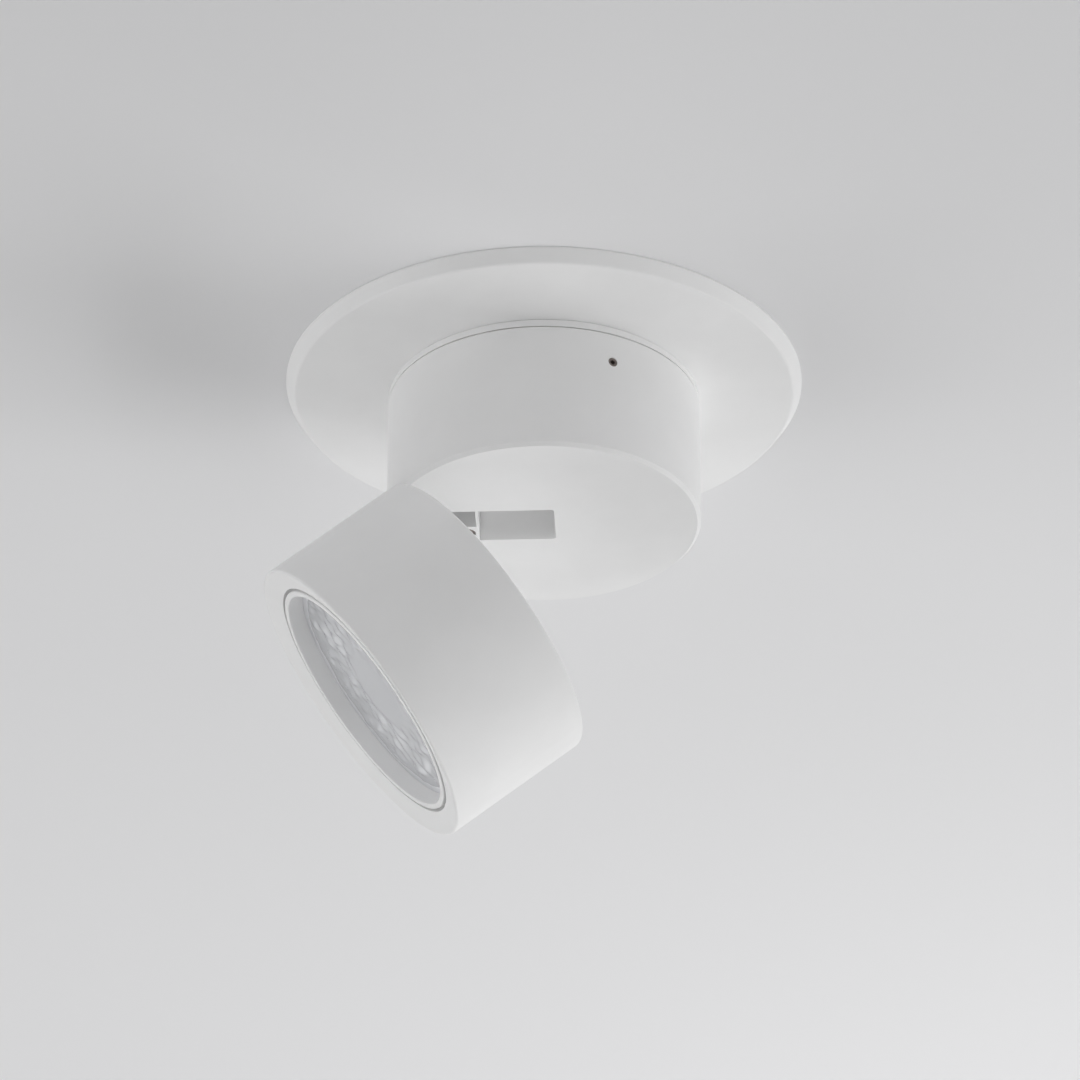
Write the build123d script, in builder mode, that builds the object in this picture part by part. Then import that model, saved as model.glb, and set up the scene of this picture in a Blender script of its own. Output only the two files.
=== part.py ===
from build123d import *
from math import cos, radians, sin, sqrt
import os

os.makedirs("parts", exist_ok=True)

# Adjustable ceiling spot: trim flange, turning drum and a lamp head hinged to the drum's underside.
# Origin: centre of the ceiling plate's back face, on the ceiling plane. +Z points up into the ceiling.
# +X runs along the slot, away from the hinge. The head is modelled swung open by head_tilt.

# Trim flange and ceiling plate
flange_d = 141.0  # outside, at the ceiling
flange_depth = 5.05  # ceiling to the flat under the collar
flange_rim_depth = 3.85  # ceiling to the lower edge of the bevel
flange_bevel = 2.3  # bevel, measured inwards
flange_edge = 0.5  # upright edge at the ceiling
flange_edge_round = 0.8
flange_lip = 3.3  # width of the lip that meets the ceiling
flange_opening_d = 28.0
land_d = 60.0  # inner land that the plate is clamped on
plate_land = 4.0  # outer land under the plate's edge
screw_recess = 1.8  # depth that clears the ceiling screws' heads
plate_t = 1.5
fixing_spacing = 80.0
fixing_slot_w = 4.6
fixing_slot_l = 14.0
gasket_w = 3.8
gasket_play = 0.2
plate_gap = 1.2  # between the plate's edge and the gasket

# Cable entry
grommet_hole_d = 16.0
grommet_bore_d = 8.0
grommet_flange_d = 21.0
grommet_flange_t = 1.2

# Base, collar and spigot
collar_h = 2.15
collar_break = 0.35  # fine groove where the collar meets the flange
base_wire_d = 18.0
spigot_play = 0.3
spigot_wall = 3.7
spigot_h = 13.8
base_screw_d = 4.0
base_screw_spacing = 48.0
base_screw_head_d = 7.2
base_screw_head_h = 2.4
thread_play = 0.05
hole_play = 0.2
glide_t = 0.25
glide_w = 1.4
glide_inset = 0.9  # from the drum's outside, so that a fine gap shows
stop_pin_d = 2.4
stop_pin_out = 3.0
stop_pin_cover = 0.35  # between the pin's upper end and the groove

# Terminals
block_l = 30.0
block_w = 14.0
block_h = 12.0
block_x = 21.0
pole_pitch = 9.0
pole_wire_d = 3.6
pole_screw_d = 3.4
pole_screw_l = 3.8
pole_screw_sunk = 0.4
pole_rise = 4.7  # wire holes above the block's lower face
earth_x = -22.0
earth_screw_d = 3.0
earth_head_d = 6.4
earth_head_h = 2.0
earth_washer_d = 9.0
earth_washer_t = 0.8

# Drum
drum_d = 85.0
drum_h = 36.55
drum_wall = 2.5
drum_floor = 3.0
rim_chamfer = 1.0
top_break = 0.2
grub_d = 2.6
grub_drop = 8.55  # below the drum's top
grub_angle = -61.9
grub_count = 3
grub_sunk = 0.2
grub_l = 3.4
grub_key = 1.3
grub_key_depth = 1.3
groove_play = 0.35
groove_floor_play = 0.3
rib_w = 3.0
rib_play = 0.4

# Slot and the pocket above it
slot_w = 15.5
slot_right = 3.0
slot_end_gap = 0.8  # between the slot's end and the hinge knuckles
slot_corner = 1.0
pocket_h = 12.5
pocket_wall = 1.5

# Hinge
hinge_inset = 7.2  # axis, in from the drum's outside
hinge_rise = 1.7  # axis, above the drum's underside
pin_d = 3.6
pin_press = 0.02
pin_run = 0.05
knuckle_d = 7.6
bracket_play = 0.15
hinge_to_web = 17.3  # hinge axis to the middle of the cross web
web_t = 0.6
bracket_near = 0.5  # near face of the fixed knuckle, across the slot
bracket_l = 12.8
bracket_link_h = 8.3
ear_t = 1.0
ear_rise = 1.1
washer_t = 0.5
washer_d = 7.2
axial_play = 0.05
bracket_screw_d = 2.5
bracket_screw_head_d = 4.4
bracket_screw_head_h = 1.5
bracket_screw_sunk = 0.5
bracket_screw_y = 4.0
bracket_screw_inset = 3.0
bracket_screw_pitch = 6.2

# Driver
driver_play = 0.75  # between the driver and the drum's wall
driver_w = 18.4
driver_headroom = 1.0  # under the stop pin
driver_gap = 1.35  # beside the pocket
driver_round = 1.0
driver_tab_l = 6.0
driver_tab_w = 6.0
driver_tab_t = 1.5
driver_screw_d = 2.5
driver_screw_head_d = 4.8
driver_screw_head_h = 1.6
driver_screw_in = 2.0

# Head
head_tilt = 52.0
head_tilt_max = 75.0
close_gap = 1.1  # between head and drum when swung shut
relief_gap = 0.5
head_l = 42.5
head_back_t = 8.0
head_wall = 3.5
head_edge_round = 0.6
head_bore_l = 10.0
head_dish = 1.7
arm_t = 3.0
arm_sunk = 0.2
arm_lead = 0.9  # arm's edge, past the hinge axis
arm_l = 17.4
arm_foot_l = 12.0
arm_foot_w = 14.0
arm_link = 3.6
arm_link_h = 4.4
arm_play = 0.15
arm_screw_d = 3.0
arm_screw_head_d = 5.6
arm_screw_cover = 1.0  # left of the head's back under the screws
arm_screw_spacing = 7.0
arm_screw_inset = 6.0
lead_gap = 0.8  # between the arm's foot and the bush
lead_hole_d = 8.0
lead_bore_d = 4.4
lead_flange_d = 10.4
lead_flange_t = 1.4

# Light engine
sink_d = 68.0
sink_t = 3.0
post_d = 30.0
post_h = 11.0
fin_count = 15
fin_t = 1.6
fin_edge = 1.0
sink_lead_d = 6.0
sink_screw_d = 3.0
sink_screw_r = 27.0
sink_screw_head_d = 5.5
sink_screw_head_h = 2.0
sink_screw_in = 4.0
board_d = 29.0
board_t = 1.6
board_lead_d = 2.8
cob_w = 18.0
cob_t = 1.0
phosphor_d = 15.0
phosphor_t = 0.5
reflector_throat_d = 18.4
reflector_rim_w = 2.6
reflector_wall = 0.7
reflector_rim_t = 1.0
lens_d = 70.4
lens_play = 0.55
lens_t = 2.8
lens_depth = 6.3  # front edge of the head to the lens
bezel_gap = 0.9  # fine gap round the lip
bezel_w = 1.65
bezel_depth = 1.55  # front edge of the head to the bezel
bezel_lip = 3.0
bezel_play = 0.05

# Levels, all below the ceiling
z_plate = -plate_t
z_flange = -flange_depth
z_collar = z_flange - collar_h
z_spigot = z_collar - spigot_h
z_top = z_collar - glide_t
z_under = z_top - drum_h
z_floor = z_under + drum_floor
z_roof = z_floor + pocket_h
z_grub = z_top - grub_drop

# Radii
drum_r = drum_d / 2
drum_bore_r = drum_r - drum_wall
spigot_r = drum_bore_r - spigot_play
spigot_bore_r = spigot_r - spigot_wall
flange_r = flange_d / 2
gasket_out_r = flange_r - flange_lip - gasket_play
plate_r = gasket_out_r - gasket_w - plate_gap
screw_recess_r = plate_r - plate_land
groove_r = drum_r - grub_sunk - grub_l - groove_floor_play
stop_r = spigot_bore_r + spigot_wall / 2
stop_pin_in = z_grub - grub_d / 2 - groove_play - stop_pin_cover - z_spigot

# Driver: fills the drum's width beside the pocket
driver_h = z_spigot - stop_pin_out - driver_headroom - z_floor
driver_y = slot_w / 2 + pocket_wall + driver_gap + driver_w / 2
driver_reach = sqrt(drum_bore_r**2 - (driver_y + driver_tab_w / 2) ** 2) - driver_play
driver_l = 2 * (driver_reach - driver_tab_l)

# Slot and hinge places
pivot_x = hinge_inset - drum_r
slot_left = pivot_x - knuckle_d / 2 - slot_end_gap
web_x = pivot_x + hinge_to_web
pivot_z = z_under + hinge_rise
bracket_y = slot_w / 2 - bracket_play
ear_y = -bracket_y + ear_t
arm_y_low = ear_y + washer_t + axial_play
arm_y_high = bracket_near - washer_t - axial_play
bracket_left = web_x - bracket_l
bracket_screw_x = [web_x - bracket_screw_inset - n * bracket_screw_pitch for n in range(2)]


def swing(x, z, turn):
    # A point turned about the hinge axis; a positive turn opens the head.
    c, s = cos(radians(turn)), sin(radians(turn))
    dx, dz = x - pivot_x, z - pivot_z
    return pivot_x + dx * c + dz * s, pivot_z - dx * s + dz * c


def tilted(x, z, turn):
    # Level plane through (x, 0, z), turned with the head: its z runs up the drum's or head's axis.
    px, pz = swing(x, z, turn)
    c, s = cos(radians(turn)), sin(radians(turn))
    return Plane(origin=(px, 0, pz), x_dir=(c, 0, -s), z_dir=(s, 0, c))


head_back = tilted(0, z_under - close_gap, head_tilt)
head_side = Plane(origin=head_back.origin, x_dir=head_back.x_dir, z_dir=(0, -1, 0))
head_axis = Axis(head_back.origin, head_back.z_dir)
pivot_up = hinge_rise + close_gap  # hinge axis above the head's back
lens_z = -(head_l - lens_depth)
lens_back = lens_z + lens_t
bezel_z = -(head_l - bezel_depth)
sink_z = -head_back_t
post_z = sink_z - sink_t
board_z = post_z - post_h
cob_z = board_z - board_t
phosphor_z = cob_z - cob_t
cavity_r = drum_r - head_wall
lens_r = lens_d / 2
head_bore_r = lens_r + lens_play
bezel_r = head_bore_r - bezel_gap
reflector_mouth_r = lens_r - reflector_rim_w
arm_x = pivot_x + arm_lead
arm_end = arm_x + arm_l
foot_x = arm_end - arm_foot_l
arm_screw_x = arm_end - arm_screw_inset
arm_screw_l = head_back_t - arm_sunk - arm_screw_cover
lead_x = arm_end + lead_gap + lead_flange_d / 2
arm_top = -arm_sunk
arm_low = arm_top - arm_t
sink_screw_angle = 180 / fin_count
grub_planes = [
    Plane(
        origin=(0, 0, z_grub),
        x_dir=(0, 0, 1),
        z_dir=(cos(radians(a)), sin(radians(a)), 0),
    )
    for a in [grub_angle + n * 360 / grub_count for n in range(grub_count)]
]
hinge_origin = (pivot_x, 0, pivot_z)

# Trim flange: dished disc with a bevelled edge, an inner land and a recess for the ceiling screws' heads
with BuildPart() as trim_flange:
    with BuildSketch(Plane.XZ):
        with BuildLine():
            Polyline(
                (flange_opening_d / 2, z_flange),
                (drum_r, z_flange),
                (flange_r - flange_bevel, -flange_rim_depth),
                (flange_r, -flange_edge),
                (flange_r, 0),
                (flange_r - flange_lip, 0),
                (flange_r - flange_lip, z_plate),
                (screw_recess_r, z_plate),
                (screw_recess_r, z_plate - screw_recess),
                (land_d / 2, z_plate - screw_recess),
                (land_d / 2, z_plate),
                (flange_opening_d / 2, z_plate),
                close=True,
            )
        make_face()
    revolve(axis=Axis.Z)
    bevel_edges = [
        e
        for e in trim_flange.edges().filter_by(GeomType.CIRCLE)
        if abs(e.radius - (flange_r - flange_bevel)) < 0.01
    ]
    fillet(bevel_edges, radius=flange_edge_round)
    with BuildSketch(Plane.XY):
        with GridLocations(0, base_screw_spacing, 1, 2):
            Circle(base_screw_d / 2 + hole_play)
    extrude(amount=-flange_depth, mode=Mode.SUBTRACT)
trim_flange.part.label = "trim_flange"
export_step(trim_flange.part, "parts/trim_flange.step")

# Ceiling gasket: foam ring inside the flange's lip
with BuildPart() as ceiling_gasket:
    with BuildSketch(Plane.XY):
        Circle(gasket_out_r)
        Circle(gasket_out_r - gasket_w, mode=Mode.SUBTRACT)
    extrude(amount=-plate_t)
ceiling_gasket.part.label = "ceiling_gasket"
export_step(ceiling_gasket.part, "parts/ceiling_gasket.step")

# Ceiling plate: pressed steel disc, screwed to the ceiling through its two slots
with BuildPart() as ceiling_plate:
    with BuildSketch(Plane.XY):
        Circle(plate_r)
        Circle(grommet_hole_d / 2, mode=Mode.SUBTRACT)
        with GridLocations(fixing_spacing, 0, 2, 1):
            SlotOverall(fixing_slot_l, fixing_slot_w, mode=Mode.SUBTRACT)
        with GridLocations(0, base_screw_spacing, 1, 2):
            Circle(base_screw_d / 2 + thread_play, mode=Mode.SUBTRACT)
    extrude(amount=-plate_t)
ceiling_plate.part.label = "ceiling_plate"
export_step(ceiling_plate.part, "parts/ceiling_plate.step")

# Cable grommet: rubber bush in the plate's centre hole, flanged below the plate
with BuildPart() as cable_grommet:
    with BuildSketch(Plane.XY):
        Circle(grommet_hole_d / 2 - thread_play)
    extrude(amount=-plate_t)
    with BuildSketch(Plane.XY.offset(z_plate)):
        Circle(grommet_flange_d / 2)
    extrude(amount=-grommet_flange_t)
    with BuildSketch(Plane.XY):
        Circle(grommet_bore_d / 2)
    extrude(amount=-plate_t - grommet_flange_t, mode=Mode.SUBTRACT)
cable_grommet.part.label = "cable_grommet"
export_step(cable_grommet.part, "parts/cable_grommet.step")

# Swivel base: collar under the flange and a grooved spigot that reaches down into the drum
with BuildPart() as swivel_base:
    with BuildSketch(Plane.XZ):
        with BuildLine():
            Polyline(
                (base_wire_d / 2, z_flange),
                (drum_r - collar_break, z_flange),
                (drum_r, z_flange - collar_break),
                (drum_r, z_collar),
                (spigot_r, z_collar),
                (spigot_r, z_grub + grub_d / 2 + groove_play),
                (groove_r, z_grub + grub_d / 2 + groove_play),
                (groove_r, z_grub - grub_d / 2 - groove_play),
                (spigot_r, z_grub - grub_d / 2 - groove_play),
                (spigot_r, z_spigot),
                (spigot_bore_r, z_spigot),
                (spigot_bore_r, z_collar),
                (base_wire_d / 2, z_collar),
                close=True,
            )
        make_face()
    revolve(axis=Axis.Z)
    with BuildSketch(Plane.XY.offset(z_flange)):
        with GridLocations(0, base_screw_spacing, 1, 2):
            Circle(base_screw_d / 2 + hole_play)
        with Locations((earth_x, 0)):
            Circle(earth_screw_d / 2 + thread_play)
    extrude(amount=-collar_h, mode=Mode.SUBTRACT)
    with BuildSketch(Plane.XY.offset(z_spigot)):
        with Locations((-stop_r, 0)):
            Circle(stop_pin_d / 2 + thread_play)
    extrude(amount=stop_pin_in, mode=Mode.SUBTRACT)
swivel_base.part.label = "swivel_base"
export_step(swivel_base.part, "parts/swivel_base.step")

# Base screws: pan heads under the base, shanks up into the plate
with BuildPart() as base_screws:
    with BuildSketch(Plane.XY.offset(z_collar)):
        with GridLocations(0, base_screw_spacing, 1, 2):
            Circle(base_screw_head_d / 2)
    extrude(amount=-base_screw_head_h)
    with BuildSketch(Plane.XY.offset(z_collar)):
        with GridLocations(0, base_screw_spacing, 1, 2):
            Circle(base_screw_d / 2)
    extrude(amount=-z_collar - hole_play)
    with BuildSketch(Plane.XY.offset(z_collar - base_screw_head_h)):
        with GridLocations(0, base_screw_spacing, 1, 2):
            Rectangle(base_screw_head_d * 0.6, base_screw_head_h * 0.35)
            Rectangle(base_screw_head_h * 0.35, base_screw_head_d * 0.6)
    extrude(amount=base_screw_head_h * 0.6, mode=Mode.SUBTRACT)
base_screws.part.label = "base_screws"
export_step(base_screws.part, "parts/base_screws.step")

# Glide ring: nylon ring in the gap between collar and drum
with BuildPart() as glide_ring:
    with BuildSketch(Plane.XY.offset(z_collar)):
        Circle(drum_r - glide_inset)
        Circle(drum_r - glide_inset - glide_w, mode=Mode.SUBTRACT)
    extrude(amount=-glide_t)
glide_ring.part.label = "glide_ring"
export_step(glide_ring.part, "parts/glide_ring.step")

# Stop pin: stands out of the spigot's lower end, opposite the drum's stop rib
with BuildPart() as stop_pin:
    with BuildSketch(Plane.XY.offset(z_spigot - stop_pin_out)):
        with Locations((-stop_r, 0)):
            Circle(stop_pin_d / 2)
    extrude(amount=stop_pin_out + stop_pin_in)
stop_pin.part.label = "stop_pin"
export_step(stop_pin.part, "parts/stop_pin.step")

# Terminal block: three poles under the base's web, wires from the side, screws from below
z_block = z_collar - block_h
with BuildPart() as terminal_block:
    with BuildSketch(Plane.XY.offset(z_block)):
        with Locations((block_x, 0)):
            Rectangle(block_w, block_l)
    extrude(amount=block_h)
    chamfer(terminal_block.edges().filter_by(Axis.Z), length=0.8)
    with BuildSketch(Plane.YZ.offset(block_x - block_w / 2)):
        with Locations((0, z_block + pole_rise)):
            with GridLocations(pole_pitch, 0, 3, 1):
                Circle(pole_wire_d / 2)
    extrude(amount=block_w, mode=Mode.SUBTRACT)
    with BuildSketch(Plane.XY.offset(z_block)):
        with Locations((block_x, 0)):
            with GridLocations(0, pole_pitch, 1, 3):
                Circle(pole_screw_d / 2 + thread_play)
    extrude(amount=pole_rise, mode=Mode.SUBTRACT)
terminal_block.part.label = "terminal_block"
export_step(terminal_block.part, "parts/terminal_block.step")

# Terminal screws: one to each pole, slotted
with BuildPart() as terminal_screws:
    with BuildSketch(Plane.XY.offset(z_block + pole_screw_sunk)):
        with Locations((block_x, 0)):
            with GridLocations(0, pole_pitch, 1, 3):
                Circle(pole_screw_d / 2)
    extrude(amount=pole_screw_l)
    with BuildSketch(Plane.XY.offset(z_block + pole_screw_sunk)):
        with Locations((block_x, 0)):
            with GridLocations(0, pole_pitch, 1, 3):
                Rectangle(pole_screw_d * 1.2, pole_screw_d * 0.2)
    extrude(amount=pole_screw_l * 0.25, mode=Mode.SUBTRACT)
terminal_screws.part.label = "terminal_screws"
export_step(terminal_screws.part, "parts/terminal_screws.step")

# Earth terminal: screw and washer on the base's web
with BuildPart() as earth_terminal:
    with BuildSketch(Plane.XY.offset(z_collar)):
        with Locations((earth_x, 0)):
            Circle(earth_washer_d / 2)
    extrude(amount=-earth_washer_t)
    with BuildSketch(Plane.XY.offset(z_collar - earth_washer_t)):
        with Locations((earth_x, 0)):
            Circle(earth_head_d / 2)
    extrude(amount=-earth_head_h)
    with BuildSketch(Plane.XY.offset(z_collar)):
        with Locations((earth_x, 0)):
            Circle(earth_screw_d / 2)
    extrude(amount=collar_h)
    with BuildSketch(Plane.XY.offset(z_collar - earth_washer_t - earth_head_h)):
        with Locations((earth_x, 0)):
            Rectangle(earth_head_d * 1.2, earth_head_d * 0.14)
    extrude(amount=earth_head_h * 0.5, mode=Mode.SUBTRACT)
earth_terminal.part.label = "earth_terminal"
export_step(earth_terminal.part, "parts/earth_terminal.step")

# Drum shell: cup with a flat underside, a long slot and the closed pocket above it
with BuildPart() as drum_shell:
    with BuildSketch(Plane.XY.offset(z_under)):
        Circle(drum_r)
    extrude(amount=drum_h)
    chamfer(drum_shell.edges().group_by(Axis.Z)[0], length=rim_chamfer)
    chamfer(drum_shell.edges().group_by(Axis.Z)[-1], length=top_break)
    with BuildSketch(Plane.XY.offset(z_floor)):
        Circle(drum_bore_r)
    extrude(amount=drum_h - drum_floor, mode=Mode.SUBTRACT)
    with BuildSketch(Plane.XY.offset(z_floor)):
        with Locations((slot_right + pocket_wall, 0)):
            Rectangle(
                slot_right + pocket_wall + drum_bore_r,
                slot_w + 2 * pocket_wall,
                align=(Align.MAX, Align.CENTER),
            )
    extrude(amount=pocket_h + pocket_wall)
    with BuildSketch(Plane.XY.offset(z_under)):
        with Locations((slot_right, 0)):
            Rectangle(slot_right - slot_left, slot_w, align=(Align.MAX, Align.CENTER))
        fillet(vertices(), radius=slot_corner)
    extrude(amount=drum_floor + pocket_h, mode=Mode.SUBTRACT)
    with BuildSketch(*[p.offset(drum_bore_r - drum_wall) for p in grub_planes]):
        Circle(grub_d / 2 + thread_play)
    extrude(amount=3 * drum_wall, mode=Mode.SUBTRACT)
    with BuildSketch(Plane.XY.offset(z_floor)):
        with Locations((drum_bore_r + drum_wall / 2, 0)):
            Rectangle(
                drum_bore_r + drum_wall / 2 - spigot_bore_r - rib_play,
                rib_w,
                align=(Align.MAX, Align.CENTER),
            )
    extrude(amount=z_spigot - rib_play - z_floor)
    with BuildSketch(Plane.XY.offset(z_floor)):
        with Locations((0, driver_y)):
            with GridLocations(driver_l + driver_tab_l, 0, 2, 1):
                Circle(driver_screw_d / 2 + thread_play)
    extrude(amount=-driver_screw_in - hole_play, mode=Mode.SUBTRACT)
    with BuildSketch(Plane.XY.offset(z_roof)):
        with Locations(*[(x, bracket_screw_y) for x in bracket_screw_x]):
            Circle(bracket_screw_d / 2 + thread_play)
    extrude(amount=pocket_wall, mode=Mode.SUBTRACT)
drum_shell.part.label = "drum_shell"
export_step(drum_shell.part, "parts/drum_shell.step")

# Grub screws: hold the drum on the spigot, tips in its groove, hexagon sockets outside
with BuildPart() as grub_screws:
    with BuildSketch(*[p.offset(drum_r - grub_sunk) for p in grub_planes]):
        Circle(grub_d / 2)
    extrude(amount=-grub_l)
    with BuildSketch(*[p.offset(drum_r - grub_sunk) for p in grub_planes]):
        RegularPolygon(grub_key / 2, 6, major_radius=False)
    extrude(amount=-grub_key_depth, mode=Mode.SUBTRACT)
grub_screws.part.label = "grub_screws"
export_step(grub_screws.part, "parts/grub_screws.step")

# Hinge bracket: thin cross web, block with the fixed knuckle on the far side, slim ear on the near side
with BuildPart() as hinge_bracket:
    with BuildSketch(Plane.YZ.offset(web_x - web_t / 2)):
        with Locations((0, z_under)):
            Rectangle(2 * bracket_y, z_roof - z_under, align=(Align.CENTER, Align.MIN))
    extrude(amount=web_t)
    with BuildSketch(Plane.XZ.offset(-bracket_y)):
        with Locations((web_x, z_under)):
            Rectangle(bracket_l, z_roof - z_under, align=(Align.MAX, Align.MIN))
        with Locations((bracket_left, pivot_z)):
            Rectangle(bracket_left - pivot_x, bracket_link_h, align=(Align.MAX, Align.MIN))
        with Locations((pivot_x, pivot_z)):
            Circle(knuckle_d / 2)
    extrude(amount=bracket_y - bracket_near)
    with BuildSketch(Plane.XZ.offset(-ear_y)):
        with Locations((web_x, z_under + ear_rise)):
            Rectangle(
                web_x - pivot_x,
                pivot_z + bracket_link_h - z_under - ear_rise,
                align=(Align.MAX, Align.MIN),
            )
        with Locations((pivot_x, pivot_z)):
            Circle(knuckle_d / 2)
    extrude(amount=ear_t)
    with BuildSketch(Plane.XZ.offset(-bracket_y)):
        with Locations((pivot_x, pivot_z)):
            Circle(pin_d / 2 + pin_press)
    extrude(amount=2 * bracket_y, mode=Mode.SUBTRACT)
    with BuildSketch(Plane.XY.offset(z_under)):
        with Locations(*[(x, bracket_screw_y) for x in bracket_screw_x]):
            Circle(bracket_screw_d / 2 + thread_play)
    extrude(amount=z_roof - z_under, mode=Mode.SUBTRACT)
    with BuildSketch(Plane.XY.offset(z_under)):
        with Locations(*[(x, bracket_screw_y) for x in bracket_screw_x]):
            Circle(bracket_screw_head_d / 2 + hole_play)
    extrude(amount=bracket_screw_sunk + bracket_screw_head_h, mode=Mode.SUBTRACT)
hinge_bracket.part.label = "hinge_bracket"
export_step(hinge_bracket.part, "parts/hinge_bracket.step")

# Bracket screws: up through the block into the pocket's roof, heads sunk below the underside
with BuildPart() as bracket_screws:
    with BuildSketch(Plane.XY.offset(z_under + bracket_screw_sunk)):
        with Locations(*[(x, bracket_screw_y) for x in bracket_screw_x]):
            Circle(bracket_screw_head_d / 2)
    extrude(amount=bracket_screw_head_h)
    with BuildSketch(Plane.XY.offset(z_under + bracket_screw_sunk)):
        with Locations(*[(x, bracket_screw_y) for x in bracket_screw_x]):
            Circle(bracket_screw_d / 2)
    extrude(amount=z_roof + pocket_wall - z_under - bracket_screw_sunk)
    with BuildSketch(Plane.XY.offset(z_under + bracket_screw_sunk)):
        with Locations(*[(x, bracket_screw_y) for x in bracket_screw_x]):
            RegularPolygon(bracket_screw_d * 0.4, 6, major_radius=False)
    extrude(amount=bracket_screw_head_h * 0.7, mode=Mode.SUBTRACT)
bracket_screws.part.label = "bracket_screws"
export_step(bracket_screws.part, "parts/bracket_screws.step")

# Hinge pin: pressed into the bracket, the head's arm turns on it
with BuildPart() as hinge_pin:
    with BuildSketch(Plane.XZ.offset(-bracket_y)):
        with Locations((pivot_x, pivot_z)):
            Circle(pin_d / 2)
    extrude(amount=2 * bracket_y)
hinge_pin.part.label = "hinge_pin"
export_step(hinge_pin.part, "parts/hinge_pin.step")

# Hinge washers: friction washers on both sides of the arm's knuckle
with BuildPart() as hinge_washers:
    with BuildSketch(Plane.XZ.offset(-bracket_near), Plane.XZ.offset(-ear_y - washer_t)):
        with Locations((pivot_x, pivot_z)):
            Circle(washer_d / 2)
            Circle(pin_d / 2 + pin_run, mode=Mode.SUBTRACT)
    extrude(amount=washer_t)
hinge_washers.part.label = "hinge_washers"
export_step(hinge_washers.part, "parts/hinge_washers.step")

# Driver case: closed box on the drum's floor, beside the pocket, with a screw tab at each end
with BuildPart() as driver_case:
    with BuildSketch(Plane.XY.offset(z_floor)):
        with Locations((0, driver_y)):
            Rectangle(driver_l, driver_w)
    extrude(amount=driver_h)
    fillet(driver_case.edges().filter_by(Axis.Z), radius=driver_round)
    fillet(driver_case.edges().group_by(Axis.Z)[-1], radius=driver_round)
    with BuildSketch(Plane.XY.offset(z_floor)):
        with Locations((0, driver_y)):
            Rectangle(driver_l + 2 * driver_tab_l, driver_tab_w)
    extrude(amount=driver_tab_t)
    with BuildSketch(Plane.XY.offset(z_floor)):
        with Locations((0, driver_y)):
            with GridLocations(driver_l + driver_tab_l, 0, 2, 1):
                Circle(driver_screw_d / 2 + hole_play)
    extrude(amount=driver_tab_t, mode=Mode.SUBTRACT)
driver_case.part.label = "driver_case"
export_step(driver_case.part, "parts/driver_case.step")

# Driver screws: pan heads on the tabs
with BuildPart() as driver_screws:
    with BuildSketch(Plane.XY.offset(z_floor + driver_tab_t)):
        with Locations((0, driver_y)):
            with GridLocations(driver_l + driver_tab_l, 0, 2, 1):
                Circle(driver_screw_head_d / 2)
    extrude(amount=driver_screw_head_h)
    with BuildSketch(Plane.XY.offset(z_floor + driver_tab_t)):
        with Locations((0, driver_y)):
            with GridLocations(driver_l + driver_tab_l, 0, 2, 1):
                Circle(driver_screw_d / 2)
    extrude(amount=-driver_tab_t - driver_screw_in)
driver_screws.part.label = "driver_screws"
export_step(driver_screws.part, "parts/driver_screws.step")

# Head housing: thick-backed can with a dished front rim; its back is relieved round the hinge
relief_r = sqrt(hinge_inset**2 + hinge_rise**2) + relief_gap
relief_half = sqrt(drum_r**2 - pivot_x**2)
relief_end_r = hinge_rise + relief_gap
drum_at_limit = tilted(0, z_under - relief_gap, head_tilt - head_tilt_max)
with BuildPart() as head_housing:
    with BuildSketch(head_side):
        with BuildLine():
            Polyline(
                (0, 0),
                (drum_r, 0),
                (drum_r, -head_l),
                (head_bore_r, head_dish - head_l),
                (head_bore_r, head_bore_l - head_l),
                (cavity_r, head_bore_l - head_l),
                (cavity_r, sink_z),
                (0, sink_z),
                close=True,
            )
        make_face()
    revolve(axis=head_axis)
    rim_edges = [
        e
        for e in head_housing.edges().filter_by(GeomType.CIRCLE)
        if abs(e.radius - drum_r) < 0.01
    ]
    fillet(rim_edges, radius=head_edge_round)
    with BuildSketch(Plane(origin=hinge_origin, x_dir=(0, 1, 0), z_dir=(0, 0, 1))):
        with BuildLine():
            ThreePointArc((-relief_half, relief_end_r), (0, relief_r), (relief_half, relief_end_r))
            Polyline(
                (relief_half, relief_end_r),
                (relief_half, 0),
                (-relief_half, 0),
                (-relief_half, relief_end_r),
            )
        make_face()
    revolve(axis=Axis(hinge_origin, (0, 1, 0)), mode=Mode.SUBTRACT)
    with BuildSketch(drum_at_limit):
        Circle(drum_r + relief_gap)
    extrude(amount=drum_h, mode=Mode.SUBTRACT)
    with BuildSketch(head_back):
        with Locations((arm_end + arm_play, 0)):
            Rectangle(
                arm_l + 2 * arm_play,
                arm_foot_w + 2 * arm_play,
                align=(Align.MAX, Align.CENTER),
            )
    extrude(amount=arm_low, mode=Mode.SUBTRACT)
    with BuildSketch(head_back.offset(arm_low)):
        with Locations((arm_screw_x, 0)):
            with GridLocations(0, arm_screw_spacing, 1, 2):
                Circle(arm_screw_d / 2 + thread_play)
    extrude(amount=arm_t - arm_screw_l - hole_play, mode=Mode.SUBTRACT)
    with BuildSketch(head_back):
        with Locations((lead_x, 0)):
            Circle(lead_hole_d / 2)
    extrude(amount=sink_z, mode=Mode.SUBTRACT)
    with BuildSketch(head_back.offset(sink_z)):
        with PolarLocations(sink_screw_r, 3, start_angle=sink_screw_angle):
            Circle(sink_screw_d / 2 + thread_play)
    extrude(amount=sink_screw_in + hole_play, mode=Mode.SUBTRACT)
head_housing.part.label = "head_housing"
export_step(head_housing.part, "parts/head_housing.step")

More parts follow.
